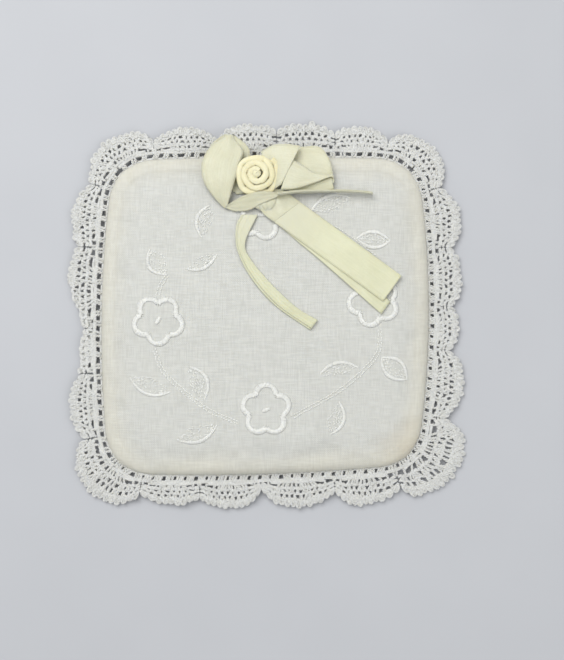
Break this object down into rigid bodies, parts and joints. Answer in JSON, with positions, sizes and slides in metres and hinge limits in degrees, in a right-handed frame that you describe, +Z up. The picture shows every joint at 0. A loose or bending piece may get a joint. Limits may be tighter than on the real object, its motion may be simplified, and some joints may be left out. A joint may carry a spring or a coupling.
{
  "type": "ring bearer pillow",
  "caption": "Small flat square linen cushion with white floral embroidery, a crocheted scalloped edging, and a satin bow with a rolled rose and loose ribbon ends for tying rings.",
  "frame": {"origin": "centre of the flat back's rest face, on the surface that the cushion lies on", "axes": "+Z up out of the embroidered face, +Y towards the side with the bow, +X to the right seen from above with the bow at the top"},
  "size_m": [0.198, 0.1922, 0.0192],
  "materials": {
    "linen": "plain-weave natural linen, washed, matt",
    "filling": "soft polyester fibre",
    "crochet_cotton": "twisted white crochet cotton, matt",
    "embroidery_cotton": "white stranded floss with a slight sheen",
    "satin_ribbon": "ivory satin ribbon with woven edges, soft sheen",
    "rose_ribbon": "ivory satin ribbon, rolled, soft sheen",
    "sewing_thread": "fine white sewing thread"
  },
  "bodies": {
    "pillow": {"back_panel": "linen", "bow_knot": "satin_ribbon", "bow_loop_left": "satin_ribbon", "bow_loop_right": "satin_ribbon", "bow_tacking_stitches": "sewing_thread", "closing_stitches": "sewing_thread", "fibre_filling": "filling", "flower_centre_bottom": "embroidery_cotton", "flower_centre_left": "embroidery_cotton", "flower_centre_right": "embroidery_cotton", "flower_centre_top": "embroidery_cotton", "flower_outline_bottom": "embroidery_cotton", "flower_outline_left": "embroidery_cotton", "flower_outline_right": "embroidery_cotton", "flower_outline_top": "embroidery_cotton", "front_panel": "linen", "lace_fan_01": "crochet_cotton", "lace_fan_02": "crochet_cotton", "lace_fan_03": "crochet_cotton", "lace_fan_04": "crochet_cotton", "lace_fan_05": "crochet_cotton", "lace_fan_06": "crochet_cotton", "lace_fan_07": "crochet_cotton", "lace_fan_08": "crochet_cotton", "lace_fan_09": "crochet_cotton", "lace_fan_10": "crochet_cotton", "lace_fan_11": "crochet_cotton", "lace_fan_12": "crochet_cotton", "lace_fan_13": "crochet_cotton", "lace_fan_14": "crochet_cotton", "lace_fan_15": "crochet_cotton", "lace_fan_16": "crochet_cotton", "lace_fan_17": "crochet_cotton", "lace_fan_18": "crochet_cotton", "lace_fan_19": "crochet_cotton", "lace_fan_20": "crochet_cotton", "lace_heading_bottom": "crochet_cotton", "lace_heading_left": "crochet_cotton", "lace_heading_right": "crochet_cotton", "lace_heading_top": "crochet_cotton", "leaf_spray_lower_left": "embroidery_cotton", "leaf_spray_lower_right": "embroidery_cotton", "leaf_spray_upper_left": "embroidery_cotton", "leaf_spray_upper_right": "embroidery_cotton", "rose_centre": "rose_ribbon", "rose_petals": "rose_ribbon", "seam_stitches": "sewing_thread", "stem_left": "embroidery_cotton", "stem_lower_left": "embroidery_cotton", "stem_lower_right": "embroidery_cotton", "stem_upper_right": "embroidery_cotton"},
    "tail_lower": {"tail_lower": "satin_ribbon"},
    "tail_upper": {"tail_upper": "satin_ribbon"},
    "tie_left": {"tie_left": "satin_ribbon"},
    "tie_right": {"tie_right": "satin_ribbon"}
  },
  "joints": [
    {"name": "tail_lower_lift", "type": "hinge", "parent": "pillow", "child": "tail_lower", "pos_m": [0.00332, 0.04596, 0.01249], "axis": [-0.5884, -0.8069, 0.0509], "range_deg": [0, 50]},
    {"name": "tail_upper_lift", "type": "hinge", "parent": "tail_lower", "child": "tail_upper", "pos_m": [0.00429, 0.04525, 0.01333], "axis": [-0.5884, -0.8069, 0.0509], "range_deg": [0, 20]},
    {"name": "tie_left_lift", "type": "hinge", "parent": "pillow", "child": "tie_left", "pos_m": [-0.0075, 0.0484, 0.01235], "axis": [-1, 0, 0], "range_deg": [0, 60]},
    {"name": "tie_right_lift", "type": "hinge", "parent": "pillow", "child": "tie_right", "pos_m": [0.006, 0.0582, 0.0162], "axis": [0.0258, -0.9997, 0], "range_deg": [0, 75]}
  ]
}
